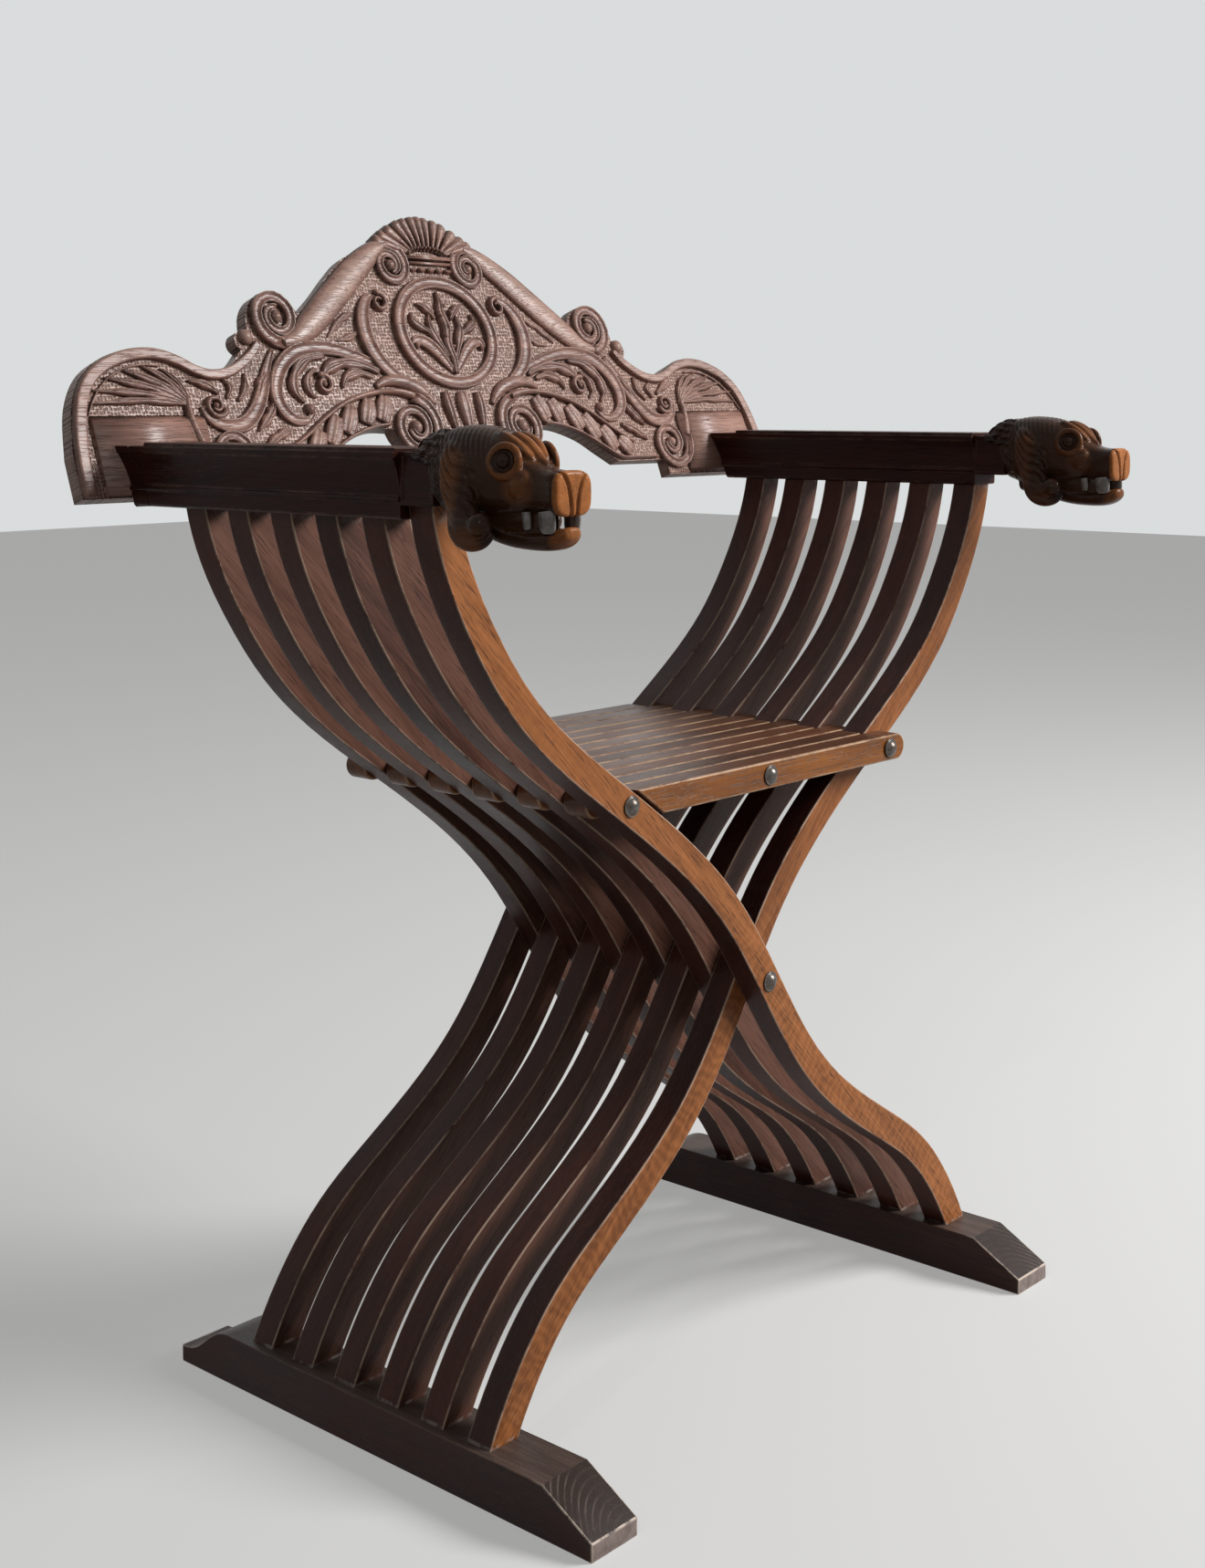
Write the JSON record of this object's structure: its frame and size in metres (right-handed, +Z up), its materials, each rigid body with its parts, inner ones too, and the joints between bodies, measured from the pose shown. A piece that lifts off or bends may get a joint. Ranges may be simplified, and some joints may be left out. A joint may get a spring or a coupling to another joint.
{
  "type": "savonarola chair",
  "caption": "Folding armchair of interlaced curved wooden slats crossing in an X under a slatted seat, with open-jawed hound heads on the arms and a carved lift-off backboard.",
  "frame": {"origin": "on the floor, in the middle of the chair's overall box seen from above", "axes": "+Z up, the sitter faces -Y, +X to the right of someone who looks at the front"},
  "size_m": [0.772, 0.4938, 0.88],
  "materials": {
    "slat_wood": "waxed dark walnut, worn pale along the edges",
    "seat_wood": "waxed walnut polished by use",
    "rail_wood": "nearly black waxed walnut",
    "foot_wood": "dark walnut, edges worn to bare wood",
    "carved_wood": "carved walnut, dark in the hollows and rubbed bright on the high spots",
    "iron": "dark oiled iron"
  },
  "bodies": {
    "frame_a": {"leg_a1": "slat_wood", "leg_a2": "slat_wood", "leg_a3": "slat_wood", "leg_a4": "slat_wood", "leg_a5": "slat_wood", "leg_a6": "slat_wood", "arm_left": "rail_wood", "head_left": "carved_wood", "foot_right": "foot_wood", "rod_pivot": "iron", "nut_pivot": "iron", "rod_seat_left": "iron", "nut_seat_left": "iron"},
    "frame_b": {"leg_b1": "slat_wood", "leg_b2": "slat_wood", "leg_b3": "slat_wood", "leg_b4": "slat_wood", "leg_b5": "slat_wood", "leg_b6": "slat_wood", "arm_right": "rail_wood", "head_right": "carved_wood", "foot_left": "foot_wood", "rod_seat_right": "iron", "nut_seat_right": "iron"},
    "seat_left": {"seat_l1": "seat_wood", "seat_l2": "seat_wood", "seat_l3": "seat_wood", "seat_l4": "seat_wood", "seat_l5": "seat_wood", "seat_l6": "seat_wood", "rod_centre_l": "iron"},
    "seat_right": {"seat_r1": "seat_wood", "seat_r2": "seat_wood", "seat_r3": "seat_wood", "seat_r4": "seat_wood", "seat_r5": "seat_wood", "seat_r6": "seat_wood", "rod_centre_r": "iron"},
    "back": {"backboard": "carved_wood"}
  },
  "joints": [
    {"name": "fold", "type": "hinge", "parent": "frame_a", "child": "frame_b", "pos_m": [0, 0, 0.296], "axis": [0, -1, 0], "range_deg": [0, 60]},
    {"name": "seat_left_fold", "type": "hinge", "parent": "frame_a", "child": "seat_left", "pos_m": [-0.156, 0, 0.45], "axis": [0, -1, 0], "range_deg": [0, 98.24]},
    {"name": "seat_right_fold", "type": "hinge", "parent": "frame_b", "child": "seat_right", "pos_m": [0.156, 0, 0.45], "axis": [0, 1, 0], "range_deg": [0, 98.24]},
    {"name": "back_lift", "type": "slide", "parent": "frame_a", "child": "back", "axis": [0, 0.342, 0.9397], "range_m": [0, 0.075]}
  ],
  "couplings": [
    {"joint": "seat_left_fold", "follows": "fold", "ratio": 1.6356},
    {"joint": "seat_right_fold", "follows": "fold", "ratio": 1.6356}
  ]
}
